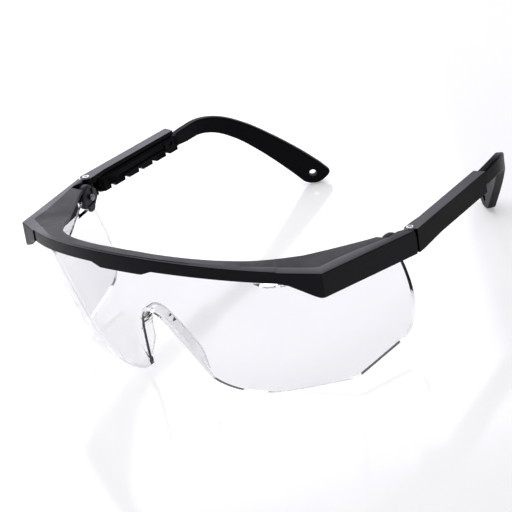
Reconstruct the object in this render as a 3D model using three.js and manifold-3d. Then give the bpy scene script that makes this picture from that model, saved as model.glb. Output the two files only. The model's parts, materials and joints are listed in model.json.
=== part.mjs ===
// Safety glasses with one wrap-around lens, a brow frame and two adjustable temples.
// Units are millimetres. The glasses are drawn in their own frame first: x to the side,
// y towards the ears, z up, with z = 0 at the top of the frame's two front corners.
// At the end they are turned and lifted so that lens and ear tips stand on z = 0.

import * as THREE from 'three';
import { mergeVertices } from 'three/addons/utils/BufferGeometryUtils.js';
import Module from 'manifold-3d';

const wasm = await Module();
wasm.setup();

// ---------------------------------------------------------------- driving dimensions

// Brow frame.
const browFrontY = -26;
const cornerHalfWidth = 70.5;
const browHalfWidth = cornerHalfWidth - 13.5;
const browSag = 17.97;
const browRadius = (browHalfWidth ** 2 + browSag ** 2) / (2 * browSag);
const browCrown = 8.5;
const browCrownReach = browHalfWidth + 9;
const browBottomMiddle = 3.7;
const browBottomFall = 6.8;
const browBottomReach = browHalfWidth + 3;
const browPanelDepth = 5.3;
const browSkirtWall = 1.4;
const tabHalfTop = 13.8;
const tabHalfBottom = 9.5;
const tabDrop = 1.7;

// Corner shells.
const facetProud = 0.6;
const shellLength = 45.4;
const shellFlare = 12.3;
const shellHeight = 9.4;
const shellFall = 2.0;
const shellWall = 1.8;
const panelWall = 1.8;
const panelBevel = 0.7;
const flangeWidth = 4.1;

// Lens.
const lensWall = 2.0;
const lensArcHalf = browHalfWidth - 5;
const lensArcSag = 13.93;
const lensRadius = (lensArcHalf ** 2 + lensArcSag ** 2) / (2 * lensArcSag);
const lensTopY = -23.4;
const lensLean = 0.36;
const lensLeanFrom = 3.5;
const lensOverlap = 1.9;
const lensDepth = 56.8;
const ridgeTopX = cornerHalfWidth - 3.25;
const ridgeBottomX = cornerHalfWidth - 4.3;
const ridgeBottomZ = -0.912 * lensDepth;
const shieldFlare = 0.2;
const shieldReach = shellLength + 3.2;
const noseTopZ = -19.4;
const noseBottomZ = -0.891 * lensDepth;
const noseHalfTop = 3.0;
const noseHalfBottom = 14.8;
const noseFlange = 6.0;
const noseFlangeWall = 1.3;
const shelfWall = 1.4;

// Hinge: tilt pin, hinge block, fold pin.
const foldPinU = shellLength + 1.5;
const tiltAxisU = foldPinU - 7.9;
const tiltAxisZ = -7.0;
const tiltPinRadius = 1.0;
const tiltHeadRadius = 1.5;
const tiltDiscRadius = 5.0;
const tiltHeadHeight = 0.7;
const tiltBossRadius = tiltPinRadius + 1.4;
const blockWidth = 3.5;
const blockClearance = 0.35;
const blockPadProud = 0.6;
const foldPinInset = 3.16;
const foldPinRadius = 0.9;
const rivetHeadRadius = 1.9;
const rivetHeadHeight = 0.5;
const barrelRadius = 2.2;
const knuckleRadius = 3.1;
const knuckleGap = 1.0;
const foldStop = 88;

// Temples.
const housingToe = 3.0;
const housingLength = 51.8;
const housingHeight = 8.6;
const housingWall = 1.6;
const housingFlange = 1.8;
const housingWidthRear = 4.7;
const channelFront = 3.4;
const stripFront = 5.6;
const stripLeadIn = 1.7;
const stripPlay = 0.4;
const stripThickness = 3.5;
const stripHeight = 5.0;
const notchPitch = 8.5;
const notchCount = 5;
const notchFirst = 5.3;
const notchLength = 2.6;
const notchDepth = 1.5;
const hookThickness = 3.5;
const hookTipLength = 5.4;
const lanyardHoleRadius = 1.6;
const lanyardHoleAt = 0.925;

// Ear end, from the housing's end: rearward, outward, up from the housing's top, band height.
const hookPath = [
  [-1.0, -0.65, -4.7, stripHeight - 0.1],
  [2.4, -0.65, -4.7, 5.5],
  [7.0, -0.65, -4.7, 6.3],
  [16.4, -1.2, -4.6, 6.5],
  [25.0, -4.1, -6.9, 6.9],
  [33.3, -9.2, -12.3, 7.5],
  [41.7, -15.6, -20.7, 8.6],
  [49.0, -22.6, -29.9, 10.0],
  [54.0, -27.7, -37.1, 10.8],
  [56.9, -30.9, -41.8, 10.8],
];

// Clearances.
const gap = 0.3;
const runningGap = 0.08;
const seatGap = 0.04;

// Longer than any piece, for tools that cut right through.
const through = 120;

// ---------------------------------------------------------------- mesh helpers

const vec = (x, y, z) => new THREE.Vector3(x, y, z);

// A closed solid through rings of points: all rings have the same number of points,
// and the first and last are capped.
function loft(rings) {
  const count = rings[0].length;
  const positions = [];
  const index = [];
  for (const ring of rings) {
    for (const p of ring) positions.push(p.x, p.y, p.z);
  }
  for (let i = 0; i + 1 < rings.length; i += 1) {
    for (let j = 0; j < count; j += 1) {
      const a = i * count + j;
      const b = i * count + ((j + 1) % count);
      const c = a + count;
      const d = b + count;
      index.push(a, b, c, b, d, c);
    }
  }
  const cap = (ring, start, reversed) => {
    const origin = ring[0];
    const normal = vec(0, 0, 0);
    for (let j = 0; j < count; j += 1) {
      normal.add(ring[j].clone().sub(origin).cross(ring[(j + 1) % count].clone().sub(origin)));
    }
    normal.normalize();
    const ex = Math.abs(normal.x) < 0.9 ? vec(1, 0, 0) : vec(0, 1, 0);
    ex.addScaledVector(normal, -ex.dot(normal)).normalize();
    const ey = normal.clone().cross(ex);
    const flat = ring.map((p) => {
      const from = p.clone().sub(origin);
      return new THREE.Vector2(from.dot(ex), from.dot(ey));
    });
    for (const [a, b, c] of THREE.ShapeUtils.triangulateShape(flat, [])) {
      if (reversed) index.push(start + a, start + c, start + b);
      else index.push(start + a, start + b, start + c);
    }
  };
  cap(rings[0], 0, true);
  cap(rings[rings.length - 1], (rings.length - 1) * count, false);
  const geometry = new THREE.BufferGeometry();
  geometry.setAttribute('position', new THREE.Float32BufferAttribute(positions, 3));
  geometry.setIndex(index);
  return outward(geometry);
}

// Turns the triangles over where the body is inside out.
function outward(geometry) {
  const p = geometry.attributes.position;
  const index = geometry.index.array;
  const [a, b, c] = [vec(0, 0, 0), vec(0, 0, 0), vec(0, 0, 0)];
  let volume = 0;
  for (let i = 0; i < index.length; i += 3) {
    a.fromBufferAttribute(p, index[i]);
    b.fromBufferAttribute(p, index[i + 1]);
    c.fromBufferAttribute(p, index[i + 2]);
    volume += a.dot(b.cross(c));
  }
  if (volume < 0) {
    for (let i = 0; i < index.length; i += 3) {
      [index[i + 1], index[i + 2]] = [index[i + 2], index[i + 1]];
    }
  }
  return geometry;
}

function toSolid(geometry) {
  const bare = geometry.clone();
  bare.deleteAttribute('normal');
  bare.deleteAttribute('uv');
  const merged = mergeVertices(bare, 1e-4);
  return new wasm.Manifold(new wasm.Mesh({
    numProp: 3,
    vertProperties: new Float32Array(merged.attributes.position.array),
    triVerts: new Uint32Array(merged.index.array),
  }));
}

function toGeometry(solid) {
  const mesh = solid.getMesh();
  const geometry = new THREE.BufferGeometry();
  geometry.setAttribute('position', new THREE.Float32BufferAttribute(mesh.vertProperties, 3));
  geometry.setIndex(Array.from(mesh.triVerts));
  return withoutSlivers(geometry);
}

// Joins points closer than a few micrometres and drops the triangles that this closes up.
function withoutSlivers(geometry) {
  const merged = mergeVertices(geometry, 2e-3);
  const index = merged.index.array;
  const kept = [];
  for (let i = 0; i < index.length; i += 3) {
    const [a, b, c] = index.slice(i, i + 3);
    if (a !== b && b !== c && c !== a) kept.push(a, b, c);
  }
  merged.setIndex(kept);
  return merged;
}

// An extruded outline whose own x, y and z axes lie along the given directions.
function prism(points, from, to, origin, ex, ey, ez) {
  const shape = new THREE.Shape(points.map(([a, b]) => new THREE.Vector2(a, b)));
  const geometry = new THREE.ExtrudeGeometry(shape, { depth: to - from, bevelEnabled: false });
  geometry.translate(0, 0, from);
  geometry.applyMatrix4(new THREE.Matrix4().makeBasis(ex, ey, ez).setPosition(origin));
  return outward(mergeVertices(stripped(geometry), 1e-4));
}

function stripped(geometry) {
  geometry.deleteAttribute('normal');
  geometry.deleteAttribute('uv');
  return geometry;
}

function rod(radius, from, to, origin, axis, sides = 24) {
  const geometry = new THREE.CylinderGeometry(radius, radius, to - from, sides);
  geometry.translate(0, (from + to) / 2, 0);
  geometry.applyQuaternion(new THREE.Quaternion().setFromUnitVectors(vec(0, 1, 0), axis));
  geometry.translate(origin.x, origin.y, origin.z);
  return outward(mergeVertices(stripped(geometry), 1e-4));
}

const mirrored = (geometry) => {
  const copy = geometry.clone();
  copy.scale(-1, 1, 1);
  return outward(copy);
};

const radians = THREE.MathUtils.degToRad;
const mix = THREE.MathUtils.lerp;
const up = vec(0, 0, 1);

// ---------------------------------------------------------------- guiding lines

const browFrontAt = (x) => browFrontY + browRadius - Math.sqrt(browRadius ** 2 - x ** 2);
const creaseAt = (x) => browCrown * (1 - (x / browCrownReach) ** 2);

function browBottomAt(x) {
  const plain = browBottomMiddle - browBottomFall * (x / browBottomReach) ** 2;
  const side = Math.abs(x);
  if (side >= tabHalfTop) return plain;
  const share = Math.min(1, (tabHalfTop - side) / (tabHalfTop - tabHalfBottom));
  return plain - tabDrop * share;
}

// The left shell's own directions: u runs rearward along the outer wall from the
// corner, n points outward from it.
const wallU = vec(Math.sin(radians(shellFlare)), Math.cos(radians(shellFlare)), 0);
const wallN = vec(wallU.y, -wallU.x, 0);
const corner = vec(cornerHalfWidth, 0, 0);
const onShell = (u, n, z) => {
  const place = corner.clone().addScaledVector(wallU, u).addScaledVector(wallN, n);
  return place.setZ(z);
};
const shellTopAt = (u) => -shellFall * u / shellLength;

// Temple directions: v runs rearward along the housing from the fold pin, m points outward.
const templeV = vec(-Math.sin(radians(housingToe)), Math.cos(radians(housingToe)), 0);
const templeM = vec(templeV.y, -templeV.x, 0);
const foldPin = onShell(foldPinU, -foldPinInset, 0);
const onTemple = (v, m, z) => {
  const place = foldPin.clone().addScaledVector(templeV, v).addScaledVector(templeM, m);
  return place.setZ(z);
};
const housingTop = shellTopAt(foldPinU);
const housingBottom = housingTop - housingHeight;
const shelfTop = shellTopAt(shellLength) - panelWall - gap;
const shieldTopZ = tiltAxisZ - tiltDiscRadius - 0.4;

// The top panel's inner edge: along the bar as share of its half width and depth behind
// the front, then along the shell as share of its length and inset from the wall.
const barInset = [[0, browPanelDepth], [0.251, 5.2], [0.491, 5.6], [0.667, 7.45], [0.781, 10.1]];
const shellInset = [
  [-0.065, 20.5],
  [0.093, 18.2],
  [0.24, 15.8],
  [0.4, 13.2],
  [0.58, 10.4],
  [0.755, 8.0],
  [1.013, 6.6],
];

function panelInnerEdge() {
  const points = barInset.map(([share, depth]) => {
    const x = share * browHalfWidth;
    return vec(x, browFrontAt(x) + depth, 0);
  });
  for (const [share, inset] of shellInset) points.push(onShell(share * shellLength, -inset, 0));
  return new THREE.CatmullRomCurve3(points, false, 'centripetal');
}

// Ribs of the brow frame's left half, from the middle to the hinge: a point on the
// outer crease, its height, the bottom edge's height and the panel's inner edge.
function browRibs() {
  const facetStart = vec(browHalfWidth, browFrontAt(browHalfWidth) - facetProud, 0);
  const inner = panelInnerEdge();
  const steps = inner.points.length - 1;
  const ribs = [];
  const bar = [0, tabHalfBottom / 2, tabHalfBottom, tabHalfTop];
  for (const share of [0.333, 0.43, 0.526, 0.632, 0.737, 0.816, 0.877, 0.939, 1]) {
    bar.push(share * browHalfWidth);
  }
  const barInner = [0, 0.34, 0.67, 0.98, 1.35, 1.75, 2.15, 2.6, 3.15, 3.65, 4.05, 4.5, 4.95];
  bar.forEach((x, i) => {
    ribs.push({
      outer: vec(x, browFrontAt(x), creaseAt(x)),
      bottom: browBottomAt(x),
      inner: inner.getPoint(barInner[i] / steps),
      wall: browSkirtWall,
      bevel: panelBevel * 0.6,
    });
  });
  const facet = [[0, 5.0, 0], [0.24, 5.3, 0], [0.62, 5.9, 0.6], [0.9, 6.4, 1]];
  for (const [share, innerAt, drop] of facet) {
    const outer = facetStart.clone().lerp(corner, share);
    outer.z = creaseAt(browHalfWidth) * (1 - share);
    const plain = browBottomAt(Math.min(outer.x, browBottomReach));
    ribs.push({
      outer,
      bottom: mix(plain, -shellHeight, drop),
      inner: inner.getPoint(innerAt / steps),
      wall: shellWall,
      bevel: panelBevel,
    });
  }
  const side = [[0, 6.8], [0.088, 7.2], [0.264, 7.9], [0.44, 8.6]];
  side.push([0.617, 9.3], [0.771, 10], [0.881, 10.45], [1.026, 11]);
  for (const [share, innerAt] of side) {
    const u = share * shellLength;
    const outer = onShell(u, 0, shellTopAt(u));
    ribs.push({
      outer,
      bottom: shellTopAt(u) - shellHeight,
      inner: inner.getPoint(innerAt / steps),
      wall: shellWall,
      bevel: panelBevel,
    });
  }
  return ribs;
}

// One rib's section: an L of skirt or side wall and top panel, with a bevelled crease.
function browSection(rib, wallNormal) {
  const inward = rib.inner.clone().setZ(0).sub(rib.outer.clone().setZ(0));
  const reach = inward.length();
  inward.normalize();
  const wallReach = rib.wall / Math.max(0.35, -inward.dot(wallNormal));
  const at = (distance, z) => rib.outer.clone().addScaledVector(inward, distance).setZ(z);
  const top = rib.outer.z;
  return [
    at(0, top - rib.bevel),
    at(rib.bevel * 1.6, top),
    at(reach, top),
    at(reach, top - panelWall),
    at(wallReach, top - panelWall),
    at(wallReach, rib.bottom),
    at(0, rib.bottom),
  ];
}

function outlineNormal(ribs, i) {
  const a = ribs[Math.max(0, i - 1)].outer.clone().setZ(0);
  const b = ribs[Math.min(ribs.length - 1, i + 1)].outer.clone().setZ(0);
  const along = b.sub(a).normalize();
  return vec(along.y, -along.x, 0);
}

// ---------------------------------------------------------------- brow frame

function browFrame() {
  const ribs = browRibs();
  const sections = ribs.map((rib, i) => browSection(rib, outlineNormal(ribs, i)));
  const opposite = sections.slice(1).reverse().map((ring) => ring.map((p) => vec(-p.x, p.y, p.z)));
  let frame = toSolid(loft([...opposite, ...sections]));

  const past = 12;
  const inside = -flangeWidth - 0.2;
  const shellEnd = foldPinU - 0.9;
  const discTop = Math.abs(shellTopAt(tiltAxisU) - panelWall - tiltAxisZ);
  const discReach = Math.sqrt(Math.max(1, tiltDiscRadius ** 2 - discTop ** 2)) + 2 * gap;
  const notch = [
    [tiltAxisU - discReach - 0.6, -past],
    [tiltAxisU - discReach, -0.7 * flangeWidth],
    [tiltAxisU + 3.4, inside],
    [tiltAxisU + 5, inside],
    [tiltAxisU + past, -flangeWidth],
    [tiltAxisU + past, -past],
  ];
  const notchCut = prism(notch, -through, through, corner, wallU, wallN, up);
  const knuckleCut = rod(knuckleRadius + knuckleGap, -through, through, foldPin, up, 40);
  const behind = [[shellEnd, -past], [shellEnd, past], [shellEnd + past, past], [shellEnd + past, -past]];
  const rearCut = prism(behind, -through, through, corner, wallU, wallN, up);
  const tiltAt = onShell(tiltAxisU, 0, tiltAxisZ);
  const boss = rod(tiltBossRadius, inside, -shellWall + 0.4, tiltAt, wallN);
  const bossHole = rod(tiltPinRadius + seatGap, inside - 2, -shellWall - 0.2, tiltAt, wallN);
  for (const flip of [(g) => g, mirrored]) {
    frame = frame.subtract(toSolid(flip(notchCut)));
    frame = frame.subtract(toSolid(flip(knuckleCut)));
    frame = frame.subtract(toSolid(flip(rearCut)));
    frame = frame.add(toSolid(flip(boss)));
    frame = frame.subtract(toSolid(flip(bossHole)));
  }
  return toGeometry(frame);
}

// ---------------------------------------------------------------- lens

const lensSag = (x) => {
  const side = Math.abs(x);
  if (side <= lensArcHalf) return lensRadius - Math.sqrt(lensRadius ** 2 - side ** 2);
  const slope = lensArcHalf / Math.sqrt(lensRadius ** 2 - lensArcHalf ** 2);
  return lensRadius - Math.sqrt(lensRadius ** 2 - lensArcHalf ** 2) + slope * (side - lensArcHalf);
};
const lensFront = (x, z) => vec(x, lensTopY + lensLean * (lensLeanFrom - z) + lensSag(x), z);
const ridgeAt = (z) => {
  const x = mix(ridgeTopX, ridgeBottomX, z / ridgeBottomZ);
  return lensFront(x, z);
};
const lensRow = (z) => {
  const points = [];
  const steps = 12;
  const ridge = ridgeAt(z);
  for (let i = -steps; i <= steps; i += 1) points.push(lensFront(ridge.x * i / steps, z));
  return points;
};

// The side shield's outer face at a height, rearward of the ridge.
const shieldAt = (y, z) => {
  const ridge = ridgeAt(z);
  return vec(ridge.x + shieldFlare * (y - ridge.y), y, z);
};

// The lens is a bent sheet, drawn over its full height and then trimmed to its outline.
function lensSheet() {
  const shieldEndY = shieldReach + 12;
  const high = browCrown + 0.5;
  const low = ridgeBottomZ - 8;
  const rings = [];
  for (const share of [0, 0.19, 0.38, 0.57, 0.76, 1]) {
    const z = mix(high, low, share);
    const row = lensRow(z);
    const outer = [shieldAt(shieldEndY, z), ...row.slice().reverse()];
    outer.push(vec(-shieldAt(shieldEndY, z).x, shieldEndY, z));
    rings.push([...outer, ...offsetInward(outer).reverse()]);
  }
  return toSolid(loft(rings));
}

// The same line moved inward by the lens's wall, in plan.
function offsetInward(line) {
  return line.map((p, i) => {
    const before = line[Math.max(0, i - 1)];
    const after = line[Math.min(line.length - 1, i + 1)];
    const first = vec(p.y - before.y, before.x - p.x, 0);
    const second = vec(after.y - p.y, p.x - after.x, 0);
    if (first.length() === 0) first.copy(second);
    if (second.length() === 0) second.copy(first);
    first.normalize();
    second.normalize();
    const normal = first.clone().add(second).normalize();
    const reach = lensWall / Math.max(0.5, normal.dot(first));
    return p.clone().addScaledVector(normal, reach);
  });
}

// The front outline below the brow: lobes, nose arch and the top edge behind the skirt.
function lensFrontOutline() {
  const topSteps = 14;
  const curveSteps = 7;
  const wide = cornerHalfWidth + 4;
  const lobeX = 0.574 * ridgeBottomX;
  const lobeZ = -lensDepth + 0.3;
  const half = new THREE.Path();
  half.moveTo(0, browBottomMiddle + lensOverlap);
  for (let i = 1; i <= topSteps; i += 1) {
    const x = browHalfWidth * i / topSteps;
    half.lineTo(x, browBottomMiddle - browBottomFall * (x / browBottomReach) ** 2 + lensOverlap);
  }
  half.lineTo(cornerHalfWidth - 6.5, shelfTop);
  half.lineTo(wide, shelfTop);
  half.lineTo(wide, ridgeBottomZ - 0.3);
  half.lineTo(ridgeBottomX, ridgeBottomZ);
  half.quadraticCurveTo(0.725 * ridgeBottomX, -0.967 * lensDepth, lobeX, lobeZ);
  half.bezierCurveTo(
    0.438 * ridgeBottomX,
    -lensDepth - 0.4,
    0.302 * ridgeBottomX,
    -lensDepth + 0.8,
    noseHalfBottom,
    noseBottomZ,
  );
  half.bezierCurveTo(
    0.743 * noseHalfBottom,
    0.695 * -lensDepth,
    0.507 * noseHalfBottom,
    0.502 * -lensDepth,
    1.53 * noseHalfTop,
    noseTopZ - 3.6,
  );
  half.bezierCurveTo(noseHalfTop, noseTopZ - 0.6, 0.53 * noseHalfTop, noseTopZ, 0, noseTopZ);
  const points = half.getPoints(curveSteps).map((p) => [p.x, p.y]);
  const opposite = points.slice(1, -1).reverse().map(([x, z]) => [-x, z]);
  return [...points, ...opposite];
}

// The side shield's outline in y and z.
function shieldOutline() {
  const outline = new THREE.Shape();
  const front = -shieldReach - 12;
  const above = 20;
  const below = -lensDepth - 14;
  const shoulder = tiltAxisU - 8.2;
  const ridgeBottomY = ridgeAt(ridgeBottomZ).y;
  const lowZ = 0.824 * -lensDepth;
  outline.moveTo(front, above);
  outline.lineTo(shoulder, above);
  outline.lineTo(shoulder, shieldTopZ);
  outline.lineTo(shieldReach - 6, shieldTopZ);
  outline.bezierCurveTo(
    shieldReach - 3.2,
    shieldTopZ - 6.6,
    shieldReach + 0.2,
    0.493 * -lensDepth,
    shieldReach,
    0.616 * -lensDepth,
  );
  outline.bezierCurveTo(
    shieldReach - 0.2,
    0.748 * -lensDepth,
    shieldReach - 2.6,
    0.8 * -lensDepth,
    shieldReach - 7.4,
    lowZ,
  );
  outline.lineTo(ridgeBottomY + 2.3, ridgeBottomZ + 0.6);
  outline.lineTo(ridgeBottomY + 0.2, ridgeBottomZ - 0.1);
  outline.lineTo(ridgeBottomY + 0.2, below);
  outline.lineTo(front, below);
  outline.closePath();
  return outline.getPoints(7).map((p) => [p.x, p.y]);
}

// The flange round the nose arch, running rearward from the lens.
function noseFlangeSolid() {
  const inArch = ([x, z]) => Math.abs(x) <= noseHalfBottom - 0.1 && z < noseTopZ + 0.1;
  const arch = lensFrontOutline().filter(inArch).sort((a, b) => a[0] - b[0]);
  const rings = arch.map(([x, z], i) => {
    const before = arch[Math.max(0, i - 1)];
    const after = arch[Math.min(arch.length - 1, i + 1)];
    const along = vec(after[0] - before[0], 0, after[1] - before[1]).normalize();
    const away = vec(along.z, 0, -along.x);
    if (away.z < 0) away.negate();
    const edge = lensFront(x, z);
    const share = Math.min(1, Math.max(0, (z - noseBottomZ) / noseHalfBottom));
    const depth = Math.max(0.9 * lensWall, noseFlange * (0.18 + 0.82 * share ** 2 * (3 - 2 * share)));
    const inner = edge.clone().add(vec(0, 0.1, 0));
    const outer = inner.clone().addScaledVector(away, noseFlangeWall);
    return [inner, outer, outer.clone().add(vec(0, depth, 0)), inner.clone().add(vec(0, depth, 0))];
  });
  return toSolid(loft(rings));
}

// The shelf along the top of the shields, under the frame's side panels.
function shelfPlan() {
  const z = shelfTop - shelfWall / 2;
  const shoulder = tiltAxisU - 8.2;
  const outer = [0.742, 0.831, 0.92].map((share) => lensFront(share * ridgeTopX, z));
  outer.push(ridgeAt(z), shieldAt(shoulder / 2, z), shieldAt(shoulder, z));
  const ribs = browRibs();
  const inner = ribs.slice(10, -2).map((rib) => rib.inner).filter((p) => p.y < shoulder - 0.2);
  const points = outer.map((p) => [p.x - 0.6, p.y + 0.4]);
  points.push([inner[inner.length - 1].x + 1.2, shoulder]);
  for (const p of inner.slice().reverse()) points.push([p.x - 0.55, p.y + 0.35]);
  return points;
}

function lens() {
  let body = lensSheet();
  const middle = vec(0, 0, 0);
  const [across, rearward, forward] = [vec(1, 0, 0), vec(0, 1, 0), vec(0, -1, 0)];
  const frontCut = prism(lensFrontOutline(), -through, through, middle, across, up, forward);
  body = body.intersect(toSolid(frontCut));
  const sideCut = prism(shieldOutline(), -through, through, middle, rearward, up, across);
  body = body.intersect(toSolid(sideCut));
  body = body.add(noseFlangeSolid());
  const plate = prism(shelfPlan(), shelfTop - shelfWall, shelfTop, middle, across, rearward, up);
  body = body.add(toSolid(plate)).add(toSolid(mirrored(plate)));
  return toGeometry(body);
}

// ---------------------------------------------------------------- hinge block and pins

const blockOuterN = -flangeWidth - 0.2 - blockClearance;
const blockInnerN = blockOuterN - blockWidth;
const barrelTop = housingTop - housingFlange - 1.3;
const barrelBottom = housingBottom + housingWall;

// The block's neck in plan, from beside the disc back to the barrel.
const neckPlan = [
  [tiltAxisU + 3.5, blockOuterN - 0.2],
  [foldPinU - 0.8, -foldPinInset + 1.6],
  [foldPinU + 1.0, -foldPinInset - 1.4],
  [tiltAxisU + 5.3, blockInnerN + 0.2],
  [tiltAxisU + 3.5, blockInnerN + 0.2],
];

function hingeBlock() {
  const origin = onShell(tiltAxisU, 0, tiltAxisZ);
  const disc = rod(tiltDiscRadius, blockInnerN, blockOuterN, origin, wallN, 36);
  const armTop = barrelTop - tiltAxisZ - 0.2;
  const armBottom = barrelBottom - tiltAxisZ + 0.2;
  const rim = tiltDiscRadius;
  const armProfile = [[0.44 * rim, 2.0], [rim + 0.1, armTop], [rim + 0.1, armBottom], [0.44 * rim, -3.9]];
  const arm = prism(armProfile, blockInnerN + 0.1, blockOuterN - 0.1, origin, wallU, up, wallN);
  const bumpProfile = [[-2.4, 1.8 - rim], [-1.2, -rim - 0.9], [1.2, -rim - 0.9], [2.7, 2.0 - rim]];
  const bumpFrom = blockInnerN - blockPadProud;
  const bump = prism(bumpProfile, bumpFrom, blockInnerN + 0.8, origin, wallU, up, wallN);
  const padProfile = [[1.7, 3.3], [4.5, 2.0], [4.8, -1.7], [2.3, -4.0]];
  const pad = prism(padProfile, bumpFrom, blockInnerN + 0.3, origin, wallU, up, wallN);
  const barrel = rod(barrelRadius, barrelBottom, barrelTop, foldPin, up, 32);
  const neck = prism(neckPlan, barrelBottom + 0.1, barrelTop - 0.1, corner, wallU, wallN, up);
  const foldBore = rod(foldPinRadius + runningGap, -through, through, foldPin, up);
  const tiltBore = rod(tiltPinRadius + runningGap, -through, through, origin, wallN);
  let block = toSolid(disc);
  for (const piece of [arm, bump, pad, neck, barrel]) block = block.add(toSolid(piece));
  for (const hole of [foldBore, tiltBore]) block = block.subtract(toSolid(hole));
  return toGeometry(block);
}

function tiltPin() {
  const origin = onShell(tiltAxisU, 0, tiltAxisZ);
  const headTo = blockInnerN - blockPadProud - gap;
  const shank = rod(tiltPinRadius, headTo - tiltHeadHeight / 2, -shellWall - 0.5, origin, wallN);
  const head = rod(tiltHeadRadius, headTo - tiltHeadHeight, headTo, origin, wallN);
  return toGeometry(toSolid(shank).add(toSolid(head)));
}

function hingePin() {
  const top = housingTop + rivetHeadHeight;
  const bottom = housingBottom - 0.2;
  const dimpleDepth = 1.2;
  const dimpleRadius = foldPinRadius - 0.1;
  const profile = [
    [0, bottom],
    [foldPinRadius, bottom],
    [foldPinRadius, housingTop + seatGap],
    [rivetHeadRadius, housingTop + seatGap],
    [rivetHeadRadius, top - 0.15],
    [rivetHeadRadius - 0.35, top],
    [dimpleRadius, top],
    [0.75 * dimpleRadius, top - dimpleDepth],
    [0, top - dimpleDepth],
  ];
  const geometry = new THREE.LatheGeometry(profile.map(([r, z]) => new THREE.Vector2(r, z)), 24);
  geometry.applyMatrix4(new THREE.Matrix4().makeBasis(vec(1, 0, 0), up, vec(0, -1, 0)));
  geometry.translate(foldPin.x, foldPin.y, 0);
  return outward(mergeVertices(stripped(geometry), 1e-4));
}

// ---------------------------------------------------------------- temples

const outerM = knuckleRadius;
const innerRearM = knuckleRadius - housingWidthRear;

// The room that the hinge block's neck and disc sweep in the knuckle as the temple folds.
function foldSweep() {
  const low = barrelBottom - gap;
  const high = barrelTop + gap;
  const atRest = neckPlan.map(([u, n]) => onShell(u, n, 0).sub(foldPin));
  const middle = atRest.reduce((sum, p) => sum.add(p), vec(0, 0, 0)).divideScalar(atRest.length);
  const roomy = atRest.map((p) => p.clone().sub(middle).setLength(p.distanceTo(middle) + gap).add(middle));
  let room = toSolid(rod(barrelRadius + gap, low, high, foldPin, up, 32));
  const discAt = onShell(tiltAxisU, 0, tiltAxisZ).sub(foldPin);
  const turns = 9;
  for (let i = 0; i <= turns; i += 1) {
    const angle = -radians(foldStop * i / turns);
    const plan = roomy.map((p) => p.clone().applyAxisAngle(up, angle)).map((p) => [p.x, p.y]);
    room = room.add(toSolid(prism(plan, low, high, foldPin, vec(1, 0, 0), vec(0, 1, 0), up)));
    const disc = rod(tiltDiscRadius + gap, blockInnerN, blockOuterN + gap, discAt, wallN, 36);
    disc.rotateZ(angle).translate(foldPin.x, foldPin.y, 0);
    room = room.add(toSolid(disc));
  }
  return room;
}

function templeHousing() {
  const plan = new THREE.Shape();
  plan.moveTo(housingLength + 0.6, outerM);
  plan.lineTo(0, outerM);
  plan.absarc(0, 0, knuckleRadius, Math.PI / 2, Math.PI * 1.5, false);
  plan.quadraticCurveTo(5, -knuckleRadius, 9, innerRearM);
  plan.lineTo(housingLength, innerRearM);
  plan.closePath();
  const outline = plan.getPoints(12).map((p) => [p.x, p.y]);
  let body = toSolid(prism(outline, housingBottom, housingTop, foldPin, templeV, templeM, up));

  const wallInner = outerM - housingWall;
  const channelTop = housingTop - housingFlange;
  const channelBottom = housingBottom + 0.8;
  const past = housingLength + 5;
  const slot = (low, high, bottom, top) => {
    const corners = [[channelFront, low], [channelFront, high], [past, high], [past, low]];
    return toSolid(prism(corners, bottom, top, foldPin, templeV, templeM, up));
  };
  body = body.subtract(slot(-past, wallInner, channelBottom, channelTop));
  body = body.subtract(slot(-past, wallInner - 1, housingBottom - 5, channelBottom + 0.1));
  body = body.subtract(slot(-0.1, wallInner - 0.1, channelTop - 0.1, channelTop + 0.9));
  body = body.subtract(foldSweep());
  const pinHole = rod(foldPinRadius + seatGap, -through, through, foldPin, up);
  return toGeometry(body.subtract(toSolid(pinHole)));
}

const hookPoints = hookPath.map(([v, m, z]) => onTemple(housingLength + v, m, housingTop + z));
const hookCurve = new THREE.CatmullRomCurve3(hookPoints, false, 'centripetal');

// The band's rings along the ear end: a flat section with softened corners that rounds
// off towards the tip.
function hookRings() {
  const steps = 26;
  const rings = [];
  const length = hookCurve.getLength();
  const thin = hookThickness / 2;
  for (let i = 0; i <= steps; i += 1) {
    const t = i / steps;
    const centre = hookCurve.getPointAt(t);
    const along = hookCurve.getTangentAt(t);
    const raw = hookCurve.getUtoTmapping(t) * (hookPath.length - 1);
    const k = Math.min(hookPath.length - 2, Math.floor(raw));
    const toGo = length * (1 - t);
    const nearTip = Math.max(0, (hookTipLength - toGo) / hookTipLength);
    const rounding = Math.sqrt(Math.max(0.02, 1 - nearTip ** 2));
    const half = rounding * mix(hookPath[k][3], hookPath[k + 1][3], raw - k) / 2;
    const side = along.clone().cross(up).normalize();
    const rise = side.clone().cross(along).normalize();
    const soft = Math.min(0.7, half * 0.4);
    const corners = [
      [-thin + 0.6, half],
      [thin - 0.6, half],
      [thin, half - soft],
      [thin, -half + soft],
      [thin - 0.6, -half],
      [-thin + 0.6, -half],
      [-thin, -half + soft],
      [-thin, half - soft],
    ];
    const place = ([a, b]) => centre.clone().addScaledVector(side, a).addScaledVector(rise, b);
    rings.push(corners.map(place));
  }
  return rings;
}

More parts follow.
